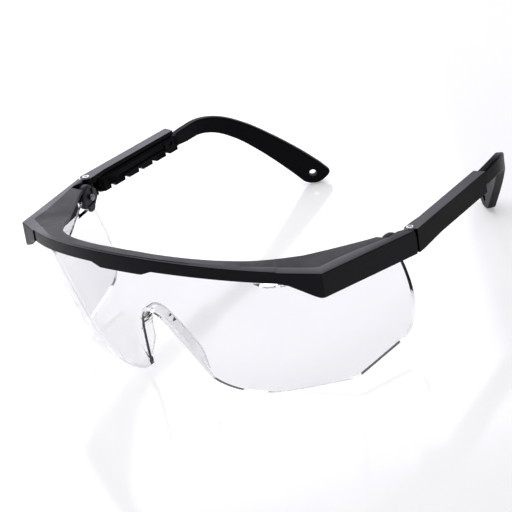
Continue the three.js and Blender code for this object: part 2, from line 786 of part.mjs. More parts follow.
// The long shallow recess and the dimple in the strip's inner face.
function stripRecess(inner, z) {
  const from = 0.335 * housingLength;
  const to = 0.845 * housingLength;
  const radius = 1.4;
  const depth = 0.5;
  const recess = new THREE.Shape();
  recess.absarc(to, z, radius, -Math.PI / 2, Math.PI / 2, false);
  recess.absarc(from, z, radius, Math.PI / 2, Math.PI * 1.5, false);
  recess.closePath();
  const outline = recess.getPoints(8).map((p) => [p.x, p.y]);
  const long = prism(outline, inner - 1, inner + depth, foldPin, templeV, up, templeM);
  const dimple = rod(1.0, inner - 1, inner + depth, onTemple(housingLength - 3.2, 0, z), templeM, 20);
  return toSolid(long).add(toSolid(dimple));
}

function templeArm() {
  const outer = outerM - housingWall - stripPlay;
  const inner = outer - stripThickness;
  const top = housingTop - housingFlange - stripPlay;
  const bottom = top - stripHeight;
  const railBottom = bottom - notchDepth;
  const rear = housingLength + 1;
  const leadIn = Math.min(stripLeadIn, 0.6 * stripThickness);
  const bar = (rearV, innerM, outerEnd, low, high) => {
    const plan = [
      [stripFront + leadIn, innerM],
      [rearV, innerM],
      [rearV, outerEnd],
      [stripFront, outerEnd],
      [stripFront, Math.min(outerEnd - 0.1, innerM + leadIn)],
    ];
    return toSolid(prism(plan, low, high, foldPin, templeV, templeM, up));
  };
  let arm = bar(rear, inner, outer, bottom, top);
  arm = arm.add(bar(rear - 1, outer - 0.9, outer, top - 0.2, top + 0.6));
  arm = arm.add(bar(rear - 0.4, inner, inner + 0.72 * stripThickness, railBottom, bottom + 0.2));
  for (let i = 0; i < notchCount; i += 1) {
    const v = stripFront + notchFirst + notchPitch * i;
    const tooth = [
      [v, railBottom - 1],
      [v, bottom],
      [v + notchLength * 0.55, bottom],
      [v + notchLength + 0.8, railBottom - 1],
    ];
    arm = arm.subtract(toSolid(prism(tooth, -through, through, foldPin, templeV, up, templeM)));
  }
  arm = arm.add(toSolid(loft(hookRings())));
  arm = arm.subtract(stripRecess(inner, top - 2.3));

  const along = hookCurve.getTangentAt(lanyardHoleAt);
  const side = along.clone().cross(up).normalize();
  const centre = hookCurve.getPointAt(lanyardHoleAt);
  arm = arm.subtract(toSolid(rod(lanyardHoleRadius, -6, 6, centre, side, 24)));
  return toGeometry(arm);
}

// ---------------------------------------------------------------- assembly

const finishes = {
  nylon: { color: 0x1c1b20, roughness: 0.42, metalness: 0 },
  clear: { color: 0xf0f0f3, roughness: 0.05, metalness: 0, transparent: true, opacity: 0.25 },
  steel: { color: 0xc4c4c8, roughness: 0.25, metalness: 1 },
};

function named(name, geometry, finish) {
  const mesh = new THREE.Mesh(geometry, new THREE.MeshStandardMaterial(finishes[finish]));
  mesh.name = name;
  return mesh;
}

const glasses = new THREE.Group();
glasses.add(named('brow_frame', browFrame(), 'nylon'));
glasses.add(named('lens', lens(), 'clear'));

const sidePieces = [
  ['hinge_block', hingeBlock(), 'nylon'],
  ['tilt_pin', tiltPin(), 'steel'],
  ['hinge_pin', hingePin(), 'steel'],
  ['temple_housing', templeHousing(), 'nylon'],
  ['temple_arm', templeArm(), 'nylon'],
];
for (const [name, geometry, finish] of sidePieces) {
  glasses.add(named(`${name}_left`, geometry, finish));
  glasses.add(named(`${name}_right`, mirrored(geometry), finish));
}

// Lowest point of the named meshes once the glasses are turned about x by an angle.
function lowest(names, angle) {
  let low = Infinity;
  for (const mesh of glasses.children.filter((child) => names.includes(child.name))) {
    const p = mesh.geometry.attributes.position;
    for (let i = 0; i < p.count; i += 1) {
      low = Math.min(low, p.getY(i) * Math.sin(angle) + p.getZ(i) * Math.cos(angle));
    }
  }
  return low;
}

// The angle at which lens and ear tips reach down equally far.
function restAngle() {
  let low = radians(-20);
  let high = radians(20);
  for (let i = 0; i < 50; i += 1) {
    const middle = (low + high) / 2;
    if (lowest(['lens'], middle) < lowest(['temple_arm_left'], middle)) high = middle;
    else low = middle;
  }
  return (low + high) / 2;
}

const restTilt = restAngle();
glasses.rotation.x = restTilt;
glasses.position.z = -lowest(['lens'], restTilt);
glasses.updateMatrixWorld(true);
const box = new THREE.Box3().setFromObject(glasses, true);
glasses.position.y = -(box.min.y + box.max.y) / 2;

const assembly = new THREE.Group();
assembly.add(glasses);

export default assembly;
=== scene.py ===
import json
import math

import bmesh
import bpy
import numpy as np
from mathutils import Matrix, Vector

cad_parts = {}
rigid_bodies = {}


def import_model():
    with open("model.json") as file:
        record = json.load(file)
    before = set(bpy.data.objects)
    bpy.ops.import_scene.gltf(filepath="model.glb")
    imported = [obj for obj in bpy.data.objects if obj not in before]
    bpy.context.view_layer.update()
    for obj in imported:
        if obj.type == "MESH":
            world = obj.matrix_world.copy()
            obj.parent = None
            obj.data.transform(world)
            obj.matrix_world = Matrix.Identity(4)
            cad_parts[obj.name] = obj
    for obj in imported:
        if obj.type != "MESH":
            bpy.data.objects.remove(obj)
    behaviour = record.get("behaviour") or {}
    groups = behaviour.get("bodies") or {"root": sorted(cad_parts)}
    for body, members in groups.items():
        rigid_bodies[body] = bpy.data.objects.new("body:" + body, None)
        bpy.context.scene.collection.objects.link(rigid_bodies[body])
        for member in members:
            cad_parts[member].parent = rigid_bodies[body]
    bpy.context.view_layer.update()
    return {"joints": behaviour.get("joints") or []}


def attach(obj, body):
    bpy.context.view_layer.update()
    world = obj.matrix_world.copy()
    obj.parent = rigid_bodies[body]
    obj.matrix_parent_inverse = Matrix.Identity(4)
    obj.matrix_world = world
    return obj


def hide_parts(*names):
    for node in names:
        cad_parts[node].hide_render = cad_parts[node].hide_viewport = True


# Safety glasses: the looks. Shapes are drawn in millimetres in the glasses' own
# directions (x to the wearer's left, y towards the ears, z up, z = 0 at the top of the
# front corners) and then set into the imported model's frame.

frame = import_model()

for old in [o for o in bpy.data.objects if o.type in {"LIGHT", "CAMERA"} or o.name == "Cube"]:
    bpy.data.objects.remove(old)

# ------------------------------------------------------------------ dimensions, mm

BROW_FRONT_Y = -26.0
BROW_HALF, BROW_SAG = 57.0, 17.97
BROW_RADIUS = (BROW_HALF**2 + BROW_SAG**2) / (2 * BROW_SAG)
BROW_CROWN, BROW_CROWN_REACH = 8.5, 66.0
BROW_BOTTOM, BROW_FALL, BROW_FALL_REACH = 3.7, 6.8, 60.0
PANEL_DEPTH = 5.3
SKIRT_WALL = 1.4
TAB_TOP, TAB_BOTTOM, TAB_DROP = 13.8, 9.5, 1.7
PANEL_CROWN, PANEL_DROP = 0.4, 0.3

CORNER_X = 70.5
FACET_PROUD = 0.6
SHELL_LENGTH = 45.4
SHELL_FLARE = math.radians(12.3)
SHELL_HEIGHT = 9.4
SHELL_FALL = 2.0
SHELL_WALL = 1.8
PANEL_WALL = 1.8
FLANGE = 4.1

LENS_WALL = 2.0
LENS_ARC_HALF, LENS_ARC_SAG = 52.0, 13.93
LENS_RADIUS = (LENS_ARC_HALF**2 + LENS_ARC_SAG**2) / (2 * LENS_ARC_SAG)
LENS_TOP_Y = -23.4
LENS_LEAN, LENS_LEAN_FROM = 0.36, 3.5
LENS_OVERLAP = 1.9
LENS_DEPTH = 56.8
RIDGE_TOP_X, RIDGE_BOTTOM_X, RIDGE_BOTTOM_Z = 67.25, 66.2, -51.8
SHIELD_FLARE = 0.2
NOSE_TOP_Z, NOSE_BOTTOM_Z = -19.4, -50.6
NOSE_HALF_TOP, NOSE_HALF_BOTTOM = 3.0, 14.8
NOSE_FLANGE = 6.0
RIDGE_EASE_FRONT, RIDGE_EASE_SIDE = 1.3, 1.6
SHIELD_END_Y = 60.0
SHELF_WALL = 1.4
RAIL_X, RAIL_WALL, RAIL_FRONT, RAIL_REAR, RAIL_BOTTOM = 62.7, 1.3, 13.0, 30.0, -10.2

TILT_U, TILT_Z = 39.0, -7.0
TILT_PIN_R, TILT_HEAD_R, DISC_R = 1.0, 1.5, 5.0
BOSS_R, BOSS_REACH = 2.4, 2.4
BLOCK_WIDTH = 3.5
PIN_U, PIN_INSET = 46.9, 3.16
PIN_R, RIVET_R, RIVET_H = 0.9, 1.45, 0.5
BARREL_R, KNUCKLE_R, EAR_R = 2.2, 3.1, 2.3
SKIN_LEAD = 0.3
SEAM, SEAM_BOW = 0.2, 21.7
ROOM, BORE_ROOM, SNUG = 0.3, 0.08, 0.04
FOLD_STOP, TILT_STOP = math.radians(88), math.radians(7)

TOE = math.radians(3.0)
HOUSING_LENGTH, HOUSING_HEIGHT = 51.8, 8.6
HOUSING_WALL, HOUSING_FLANGE, HOUSING_REAR = 1.6, 1.8, 4.7
STRIP_FRONT, STRIP_T, STRIP_H, LEAD_IN = 5.6, 3.5, 5.0, 1.7
NOTCH_PITCH, NOTCHES, NOTCH_L, NOTCH_D = 8.5, 5, 2.6, 1.5
RECESS_START, RECESS_END, RECESS_R, RECESS_DEPTH = 17.4, 43.8, 1.4, 0.5
DIMPLE_V, DIMPLE_R = 48.6, 1.0
HOOK_T = 3.5
TIP_LENGTH, TIP_TIGHT, TIP_THIN = 7.4, 1.7, 0.9
HOLE_R, HOLE_SHARE = 1.6, 0.075


def V(x, y, z):
    return Vector((x, y, z))


ORIGIN, LEFT, REAR, UP = V(0, 0, 0), V(1, 0, 0), V(0, 1, 0), V(0, 0, 1)
WALL_U = V(math.sin(SHELL_FLARE), math.cos(SHELL_FLARE), 0)
WALL_N = V(WALL_U.y, -WALL_U.x, 0)
CORNER = V(CORNER_X, 0, 0)
TEMPLE_V = V(-math.sin(TOE), math.cos(TOE), 0)
TEMPLE_M = V(TEMPLE_V.y, -TEMPLE_V.x, 0)


def on_shell(u, n, z):
    p = CORNER + WALL_U * u + WALL_N * n
    return V(p.x, p.y, z)


FOLD_PIN = on_shell(PIN_U, -PIN_INSET, 0)


def on_temple(v, m, z):
    p = FOLD_PIN + TEMPLE_V * v + TEMPLE_M * m
    return V(p.x, p.y, z)


def shell_top(u):
    return -SHELL_FALL * u / SHELL_LENGTH


HOUSING_TOP = shell_top(PIN_U)
HOUSING_BOTTOM = HOUSING_TOP - HOUSING_HEIGHT
SHELF_TOP = shell_top(SHELL_LENGTH) - PANEL_WALL - 0.3
SHELF_END = TILT_U - 8.2
SHIELD_TOP_Z = TILT_Z - DISC_R - 0.4
BLOCK_OUTER = -FLANGE - 0.55
BLOCK_INNER = BLOCK_OUTER - BLOCK_WIDTH
BARREL_TOP = HOUSING_TOP - HOUSING_FLANGE - 1.3
BARREL_BOTTOM = HOUSING_BOTTOM + HOUSING_WALL
NECK_PLAN = [
    (TILT_U + 3.5, BLOCK_OUTER - 0.2),
    (PIN_U - 0.8, -PIN_INSET + 1.6),
    (PIN_U + 1.0, -PIN_INSET - 1.4),
    (TILT_U + 5.3, BLOCK_INNER + 0.2),
    (TILT_U + 3.5, BLOCK_INNER + 0.2),
]

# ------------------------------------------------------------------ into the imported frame

joints = {j["name"]: j for j in frame["joints"]}
fold_axis = Vector(joints["fold_left"]["axis"])
turn = Matrix.Rotation(-math.atan2(fold_axis.y, fold_axis.z), 4, "X")
tilt_at = Vector(joints["tilt_left"]["pos_m"]) * 1000
PLACE = (
    Matrix.Scale(0.001, 4)
    @ Matrix.Translation(tilt_at - turn @ on_shell(TILT_U, 0, TILT_Z))
    @ turn
)

# ------------------------------------------------------------------ mesh tools


def new_object(name, mesh):
    obj = bpy.data.objects.new(name, mesh)
    bpy.context.scene.collection.objects.link(obj)
    return obj


def solid(name, verts, faces):
    mesh = bpy.data.meshes.new(name)
    mesh.from_pydata([tuple(v) for v in verts], [], faces)
    mesh.validate()
    mesh.update()
    volume = 0.0
    for poly in mesh.polygons:
        a = mesh.vertices[poly.vertices[0]].co
        for i in range(1, len(poly.vertices) - 1):
            b = mesh.vertices[poly.vertices[i]].co
            c = mesh.vertices[poly.vertices[i + 1]].co
            volume += a.dot(b.cross(c))
    if volume < 0:
        mesh.flip_normals()
    return new_object(name, mesh)


def loft(name, rings):
    count = len(rings[0])
    verts = [p for ring in rings for p in ring]
    faces = []
    for i in range(len(rings) - 1):
        for j in range(count):
            a, b = i * count + j, i * count + (j + 1) % count
            faces.append((a, b, b + count, a + count))
    faces.append(tuple(reversed(range(count))))
    faces.append(tuple(range((len(rings) - 1) * count, len(rings) * count)))
    return solid(name, verts, faces)


def prism(name, points, low, high, origin, ex, ey, ez):
    rings = [
        [origin + ex * a + ey * b + ez * level for a, b in points]
        for level in (low, high)
    ]
    return loft(name, rings)


def frame_of(axis):
    side = V(1, 0, 0) if abs(axis.x) < 0.9 else V(0, 1, 0)
    ex = (side - axis * side.dot(axis)).normalized()
    return ex, axis.cross(ex)


def lathe(name, profile, origin, axis, sides=48):
    """A closed body turned from (radius, height) points that start and end on the axis."""
    ex, ey = frame_of(axis)
    verts, rows = [], []
    for radius, height in profile:
        centre = origin + axis * height
        if radius < 1e-6:
            verts.append(centre)
            rows.append([len(verts) - 1] * sides)
            continue
        row = []
        for k in range(sides):
            t = 2 * math.pi * k / sides
            verts.append(centre + ex * (radius * math.cos(t)) + ey * (radius * math.sin(t)))
            row.append(len(verts) - 1)
        rows.append(row)
    faces = []
    for low, high in zip(rows, rows[1:]):
        for k in range(sides):
            n = (k + 1) % sides
            ids = []
            for i in (low[k], low[n], high[n], high[k]):
                if i not in ids:
                    ids.append(i)
            if len(ids) > 2:
                faces.append(tuple(ids))
    return solid(name, verts, faces)


def rod(name, radius, low, high, origin, axis, sides=48):
    return lathe(name, [(0, low), (radius, low), (radius, high), (0, high)], origin, axis, sides)


def settle(obj):
    """Writes the modifiers' result into the mesh."""
    bpy.context.view_layer.update()
    graph = bpy.context.evaluated_depsgraph_get()
    mesh = bpy.data.meshes.new_from_object(obj.evaluated_get(graph))
    obj.modifiers.clear()
    old = obj.data
    obj.data = mesh
    bpy.data.meshes.remove(old)


def combine(obj, tools, how):
    for tool in tools:
        mod = obj.modifiers.new("cut", "BOOLEAN")
        mod.operation = how
        mod.object = tool
        mod.solver = "EXACT"
        settle(obj)
        bpy.data.objects.remove(tool)


def cut(obj, *tools):
    combine(obj, tools, "DIFFERENCE")


def join(obj, *tools):
    combine(obj, tools, "UNION")


def keep(obj, *tools):
    combine(obj, tools, "INTERSECT")


def mirror_copy(obj, name):
    mesh = obj.data.copy()
    mesh.transform(Matrix.Scale(-1, 4, V(1, 0, 0)))
    mesh.flip_normals()
    return new_object(name, mesh)


def on_both_sides(how, obj, tool):
    """Uses a tool and its mirror image."""
    how(obj, tool, mirror_copy(tool, "t"))


def clean(obj, distance=0.004):
    bm = bmesh.new()
    bm.from_mesh(obj.data)
    bmesh.ops.remove_doubles(bm, verts=bm.verts, dist=distance)
    bmesh.ops.dissolve_degenerate(bm, edges=bm.edges, dist=distance)
    bm.to_mesh(obj.data)
    bm.free()
    obj.data.update()


def soften(obj, width, angle=32, segments=3):
    """Rounds the edges sharper than the angle."""
    clean(obj)
    mod = obj.modifiers.new("round", "BEVEL")
    mod.width = width
    mod.segments = segments
    mod.limit_method = "ANGLE"
    mod.angle_limit = math.radians(angle)
    mod.miter_outer = "MITER_ARC"
    mod.use_clamp_overlap = True
    settle(obj)


def split_wide_faces(obj):
    """Cuts every face of more than four corners into triangles."""
    mesh = bmesh.new()
    mesh.from_mesh(obj.data)
    bmesh.ops.triangulate(mesh, faces=[f for f in mesh.faces if len(f.verts) > 4])
    mesh.to_mesh(obj.data)
    mesh.free()


def smooth(obj, angle=35):
    split_wide_faces(obj)
    mesh = obj.data
    mesh.polygons.foreach_set("use_smooth", [True] * len(mesh.polygons))
    mesh.set_sharp_from_angle(angle=math.radians(angle))
    mod = obj.modifiers.new("normals", "WEIGHTED_NORMAL")
    mod.keep_sharp = True
    mod.weight = 80
    return obj


def catmull(points):
    """A centripetal curve through the points, by position on the list from 0 to n - 1."""
    pts = [Vector(p) for p in points]
    first = pts[0] * 2 - pts[1]
    last = pts[-1] * 2 - pts[-2]
    full = [first, *pts, last]

    def at(t):
        t = min(max(t, 0.0), len(pts) - 1.0)
        i = min(int(t), len(pts) - 2)
        w = t - i
        p0, p1, p2, p3 = full[i : i + 4]
        d0 = max((p1 - p0).length_squared ** 0.25, 1e-4)
        d1 = max((p2 - p1).length_squared ** 0.25, 1e-4)
        d2 = max((p3 - p2).length_squared ** 0.25, 1e-4)
        t1 = ((p1 - p0) / d0 - (p2 - p0) / (d0 + d1) + (p2 - p1) / d1) * d1
        t2 = ((p2 - p1) / d1 - (p3 - p1) / (d1 + d2) + (p3 - p2) / d2) * d1
        c2 = p1 * -3 + p2 * 3 - t1 * 2 - t2
        c3 = p1 * 2 - p2 * 2 + t1 + t2
        return p1 + t1 * w + c2 * w**2 + c3 * w**3

    return at


# ------------------------------------------------------------------ materials


def node_material(name):
    mat = bpy.data.materials.new(name)
    mat.use_nodes = True
    tree = mat.node_tree
    shader = next(n for n in tree.nodes if n.type == "BSDF_PRINCIPLED")
    return mat, tree, shader


def link(tree, a, b):
    tree.links.new(a, b)


def noise(tree, scale, detail, roughness=0.5, at=None):
    node = tree.nodes.new("ShaderNodeTexNoise")
    node.inputs["Scale"].default_value = scale
    node.inputs["Detail"].default_value = detail
    node.inputs["Roughness"].default_value = roughness
    if at is not None:
        link(tree, at, node.inputs["Vector"])
    return node


def ramp(tree, source, stops):
    node = tree.nodes.new("ShaderNodeValToRGB")
    elements = node.color_ramp.elements
    elements[0].position, elements[0].color = stops[0][0], (*stops[0][1], 1)
    elements[1].position, elements[1].color = stops[-1][0], (*stops[-1][1], 1)
    for position, colour in stops[1:-1]:
        element = elements.new(position)
        element.color = (*colour, 1)
    link(tree, source, node.inputs["Fac"])
    return node


def vary_gloss(tree, shader, pattern, seen, rough):
    """Turns the pattern's values in the seen range into a range of roughness."""
    node = tree.nodes.new("ShaderNodeMapRange")
    node.inputs["From Min"].default_value = seen[0]
    node.inputs["From Max"].default_value = seen[1]
    node.inputs["To Min"].default_value = rough[0]
    node.inputs["To Max"].default_value = rough[1]
    link(tree, pattern.outputs["Fac"], node.inputs["Value"])
    link(tree, node.outputs["Result"], shader.inputs["Roughness"])


def emboss(tree, shader, pattern, strength, depth):
    node = tree.nodes.new("ShaderNodeBump")
    node.inputs["Strength"].default_value = strength
    node.inputs["Distance"].default_value = depth
    link(tree, pattern.outputs["Fac"], node.inputs["Height"])
    link(tree, node.outputs["Normal"], shader.inputs["Normal"])


def shade(value, tint):
    return tuple(value * t for t in tint)


def nylon(name, base=0.004, rough=(0.36, 0.47), bump=0.22, grain=5200.0, sheen=0.13):
    """Moulded nylon: fine spark-eroded grain, slow changes of gloss and rare hairline rubs."""
    mat, tree, shader = node_material(name)
    coords = tree.nodes.new("ShaderNodeTexCoord").outputs["Object"]
    fine = noise(tree, grain, 3.0, 0.6, coords)
    broad = noise(tree, 70.0, 3.0, 0.55, coords)
    rubs = tree.nodes.new("ShaderNodeMapping")
    rubs.inputs["Scale"].default_value = (240.0, 18.0, 320.0)
    link(tree, coords, rubs.inputs["Vector"])
    streaks = noise(tree, 4.0, 5.0, 0.7, rubs.outputs["Vector"])
    streak_mask = ramp(tree, streaks.outputs["Fac"], [(0.60, (0, 0, 0)), (0.74, (1, 1, 1))])
    colour = ramp(
        tree, broad.outputs["Fac"],
        [(0.3, shade(base * 0.8, (0.98, 0.95, 1.1))), (0.7, shade(base * 1.25, (0.98, 0.95, 1.12)))],
    )
    worn = tree.nodes.new("ShaderNodeMix")
    worn.data_type = "RGBA"
    link(tree, colour.outputs["Color"], worn.inputs["A"])
    worn.inputs["B"].default_value = (base * 3.2, base * 3.1, base * 3.4, 1)
    amount = tree.nodes.new("ShaderNodeMath")
    amount.operation = "MULTIPLY"
    amount.inputs[1].default_value = 0.35
    link(tree, streak_mask.outputs["Color"], amount.inputs[0])
    link(tree, amount.outputs["Value"], worn.inputs["Factor"])
    link(tree, worn.outputs["Result"], shader.inputs["Base Color"])
    vary_gloss(tree, shader, broad, (0.3, 0.7), rough)
    emboss(tree, shader, fine, bump, 0.00004)
    shader.inputs["Specular IOR Level"].default_value = sheen
    shader.inputs["Specular Tint"].default_value = (0.93, 0.9, 1.0, 1)
    return mat


def clear_lens(name):
    """Clear polycarbonate: a faint grey tint, fine specks of duller gloss and shallow flow waves."""
    mat, tree, shader = node_material(name)
    coords = tree.nodes.new("ShaderNodeTexCoord").outputs["Object"]
    slow = noise(tree, 26.0, 2.0, 0.5, coords)
    tint = ramp(
        tree, slow.outputs["Fac"],
        [(0.25, (0.825, 0.825, 0.835)), (0.75, (0.845, 0.845, 0.852))],
    )
    link(tree, tint.outputs["Color"], shader.inputs["Base Color"])
    fine = noise(tree, 900.0, 2.0, 0.5, coords)
    vary_gloss(tree, shader, fine, (0.35, 0.75), (0.012, 0.04))
    emboss(tree, shader, slow, 0.03, 0.0002)
    shader.inputs["Transmission Weight"].default_value = 1.0
    shader.inputs["IOR"].default_value = 1.22
    return mat


def steel(name, low, high):
    """Plated steel with duller patches and a very fine grain."""
    mat, tree, shader = node_material(name)
    coords = tree.nodes.new("ShaderNodeTexCoord").outputs["Object"]
    patches = noise(tree, 900.0, 3.0, 0.6, coords)
    colour = ramp(tree, patches.outputs["Fac"], [(0.3, low), (0.65, high)])
    link(tree, colour.outputs["Color"], shader.inputs["Base Color"])
    vary_gloss(tree, shader, patches, (0.0, 1.0), (0.16, 0.36))
    fine = noise(tree, 7000.0, 2.0, 0.6, coords)
    emboss(tree, shader, fine, 0.2, 0.00002)
    shader.inputs["Metallic"].default_value = 1.0
    return mat


frame_finish = nylon("frame_nylon")
# Painted light: a lighter, glossier copy of the frame nylon (four times the base colour, full specular)
# for the up-facing top band of the brow and the flange tops of the housings, where the light falls on
# them.
painted_light_band_finish = nylon("band_nylon", base=0.016, rough=(0.42, 0.52), bump=0.32, sheen=1.0)
temple_finish = nylon("temple_nylon", base=0.0035, rough=(0.34, 0.45), bump=0.24, sheen=0.05)
hinge_finish = nylon("hinge_nylon", base=0.008, rough=(0.40, 0.52), bump=0.3, sheen=0.3)
lens_finish = clear_lens("lens_polycarbonate")
steel_finish = steel("pin_nickel", (0.62, 0.62, 0.65), (0.82, 0.82, 0.84))
dark_steel_finish = steel("pin_blackened", (0.1, 0.1, 0.11), (0.2, 0.2, 0.22))

# ------------------------------------------------------------------ brow frame


def brow_front(x):
    return BROW_FRONT_Y + BROW_RADIUS - math.sqrt(BROW_RADIUS**2 - x**2)


def crease(x):
    return BROW_CROWN * (1 - (x / BROW_CROWN_REACH) ** 2)


def brow_bottom(x):
    plain = BROW_BOTTOM - BROW_FALL * (x / BROW_FALL_REACH) ** 2
    side = abs(x)
    if side >= TAB_TOP:
        return plain
    return plain - TAB_DROP * min(1.0, (TAB_TOP - side) / (TAB_TOP - TAB_BOTTOM))


inner_edge = catmull(
    [
        V(0, BROW_FRONT_Y + PANEL_DEPTH, 0),
        V(14.3, -19.8, 0),
        V(28, -16.4, 0),
        V(38, -11, 0),
        V(44.5, -5.4, 0),
        V(49.8, 1.5, 0),
        V(53.6, 8, 0),
        V(57.4, 14, 0),
        V(61.5, 20.5, 0),
        V(66, 28, 0),
        V(70, 35.2, 0),
        on_shell(SHELL_LENGTH + 0.6, -6.6, 0),
    ]
)


def brow_ribs():
    ribs = []
    bar_x = [0, 4.75, 9.5, 13.8, 19, 24.5, 30, 36, 42, 46.5, 50, 53.5, 57]
    bar_in = [0, 0.34, 0.67, 0.98, 1.35, 1.75, 2.15, 2.6, 3.15, 3.65, 4.05, 4.5, 4.95]
    xs = [0, 2.4, 4.8, 7.2, 9.5, 10.9, 12.4, 13.8]
    xs += list(np.linspace(16, 55, 20)) + [56.2, 56.9]
    for x in xs:
        x = float(x)
        inner = inner_edge(float(np.interp(x, bar_x, bar_in)))
        outer = V(x, brow_front(x), crease(x))
        reach = (V(inner.x, inner.y, 0) - V(outer.x, outer.y, 0)).length
        band = min(reach * 0.62, float(np.interp(x, [0, 25, 44, 57], [0.75, 0.85, 1.7, 3.6])))
        ribs.append((outer, brow_bottom(x), inner, SKIRT_WALL, 0.42, band))
    start = V(BROW_HALF, brow_front(BROW_HALF) - FACET_PROUD, 0)
    shares = [0, 0.12, 0.24, 0.36, 0.49, 0.62, 0.76, 0.9]
    for share in shares:
        outer = start.lerp(CORNER, share)
        outer.z = crease(BROW_HALF) * (1 - share)
        plain = brow_bottom(min(outer.x, BROW_FALL_REACH))
        drop = float(np.interp(share, [0, 0.2, 0.62, 0.78, 0.9], [0, 0.0, 0.62, 0.86, 1]))
        bottom = plain * (1 - drop) - SHELL_HEIGHT * drop
        inner = inner_edge(float(np.interp(share, [0, 0.24, 0.62, 0.9], [5.0, 5.3, 5.9, 6.4])))
        band = 3.7 + 1.1 * share
        ribs.append((outer, bottom, inner, SHELL_WALL, 0.5, band))
    side_u = [0, 1.2, 2.6, 4, 6.6, 9.3, 12, 16, 20, 24, 28, 31.5, 35, 37.5, 40, 43.3, SHELL_LENGTH + 1.2]
    known_u = [0, 4, 12, 20, 28, 35, 40, SHELL_LENGTH + 1.2]
    known_in = [6.8, 7.2, 7.9, 8.6, 9.3, 10, 10.45, 11]
    for u in side_u:
        outer = on_shell(u, 0, shell_top(u))
        inner = inner_edge(float(np.interp(u, known_u, known_in)))
        band = float(np.interp(u, [0, 8, 20, 34.6, 47], [5.0, 5.1, 4.4, 3.0, 3.0]))
        ribs.append((outer, shell_top(u) - SHELL_HEIGHT, inner, SHELL_WALL, 0.5, band))
    return ribs


def brow_section(rib, normal):
    outer, bottom, inner, wall, bevel, band = rib
    inward = V(inner.x, inner.y, 0) - V(outer.x, outer.y, 0)
    reach = inward.length
    inward.normalize()
    wall_reach = wall / max(0.35, -inward.dot(normal))
    top = outer.z

    def at(distance, z):
        p = outer + inward * distance
        return V(p.x, p.y, z)

    return [
        at(0, top - bevel),
        at(bevel * 0.45, top - bevel * 0.4),
        at(bevel * 1.5, top),
        at(band, top + PANEL_CROWN),
        at(reach, top - PANEL_DROP),
        at(reach, top - PANEL_WALL),
        at(wall_reach, top - PANEL_WALL),
        at(wall_reach, bottom),
        at(0, bottom),
    ]


def outline_normal(ribs, i):
    a = ribs[max(0, i - 1)][0]
    b = ribs[min(len(ribs) - 1, i + 1)][0]
    along = V(b.x - a.x, b.y - a.y, 0).normalized()
    return V(along.y, -along.x, 0)


def lens_rail(room, low, high):
    """The thin inner wall of the slot that the side shield sits in, hung from the side panel."""
    near, far = RAIL_FRONT - room, RAIL_REAR + room
    plan = [
        (RAIL_X + SHIELD_FLARE * near - room, near),
        (RAIL_X + SHIELD_FLARE * far - room, far),
        (RAIL_X + SHIELD_FLARE * far + RAIL_WALL + room, far),
        (RAIL_X + SHIELD_FLARE * near + RAIL_WALL + room, near),
    ]
    return prism("t", plan, low, high, ORIGIN, LEFT, REAR, UP)


def brow_frame():
    ribs = brow_ribs()
    sections = [brow_section(r, outline_normal(ribs, i)) for i, r in enumerate(ribs)]
    opposite = [[V(-p.x, p.y, p.z) for p in ring] for ring in reversed(sections[1:])]
    body = loft("brow_frame_visual", opposite + sections)
    body.data.materials.append(frame_finish)
    body.data.materials.append(painted_light_band_finish)
    count = len(sections[0])
    runs = (len(opposite) + len(sections) - 1) * count
    # The outer band along the brow's top gets the second material, a painted lighter copy of the same
    # nylon for where the light falls on it.
    for poly in body.data.polygons:
        if poly.index < runs and poly.index % count in (1, 2):
            poly.material_index = 1
    notch = [
        (34.2, -12), (34.45, -6.6), (34.8, -3.1), (35.3, -2.85),
        (41.4, -FLANGE - 0.2), (43.0, -3.4), (50, -3.0), (50, -12),
    ]
    pin_at = on_shell(TILT_U, 0, TILT_Z)
    reach = PIN_U - SKIN_LEAD - SEAM
    end = [(PIN_U + 8, 4), (PIN_U + 8, -16)]
    for k in range(21):
        z = -16 + k
        end.append((reach - SEAM_BOW + math.sqrt(SEAM_BOW**2 - (z - TILT_Z) ** 2), z))

    def tools():
        yield prism("t", notch, -40, 40, CORNER, WALL_U, WALL_N, UP)
        yield prism("t", end, -12, 4, CORNER, WALL_U, UP, WALL_N)
        for share in (-1, -0.5, 0, 0.5, 1):
            rock = Matrix.Rotation(TILT_STOP * share, 3, WALL_N)
            place = pin_at + rock @ (FOLD_PIN + UP * TILT_Z - pin_at)
            yield rod("t", EAR_R + ROOM, -9, 9, place, rock @ UP, 48)

    for tool in tools():
        on_both_sides(cut, body, tool)
    on_both_sides(join, body, lens_rail(0, RAIL_BOTTOM, -PANEL_WALL - 0.5))
    boss = rod("t", BOSS_R, -SHELL_WALL - BOSS_REACH, -SHELL_WALL + 0.4, pin_at, WALL_N)
    on_both_sides(join, body, boss)
    hole = rod("t", TILT_PIN_R + SNUG, -6, -SHELL_WALL - 0.2, pin_at, WALL_N)
    on_both_sides(cut, body, hole)
    soften(body, 0.22, 24, 2)
    return smooth(body, 40)


# ------------------------------------------------------------------ lens


def lens_sag(x):
    side = abs(x)
    if side <= LENS_ARC_HALF:
        return LENS_RADIUS - math.sqrt(LENS_RADIUS**2 - side**2)
    root = math.sqrt(LENS_RADIUS**2 - LENS_ARC_HALF**2)
    return LENS_RADIUS - root + LENS_ARC_HALF / root * (side - LENS_ARC_HALF)


def lens_front(x, z):
    return V(x, LENS_TOP_Y + LENS_LEAN * (LENS_LEAN_FROM - z) + lens_sag(x), z)


def ridge(z):
    return lens_front(RIDGE_TOP_X + (RIDGE_BOTTOM_X - RIDGE_TOP_X) * z / RIDGE_BOTTOM_Z, z)


def shield(y, z):
    at = ridge(z)
    return V(at.x + SHIELD_FLARE * (y - at.y), y, z)


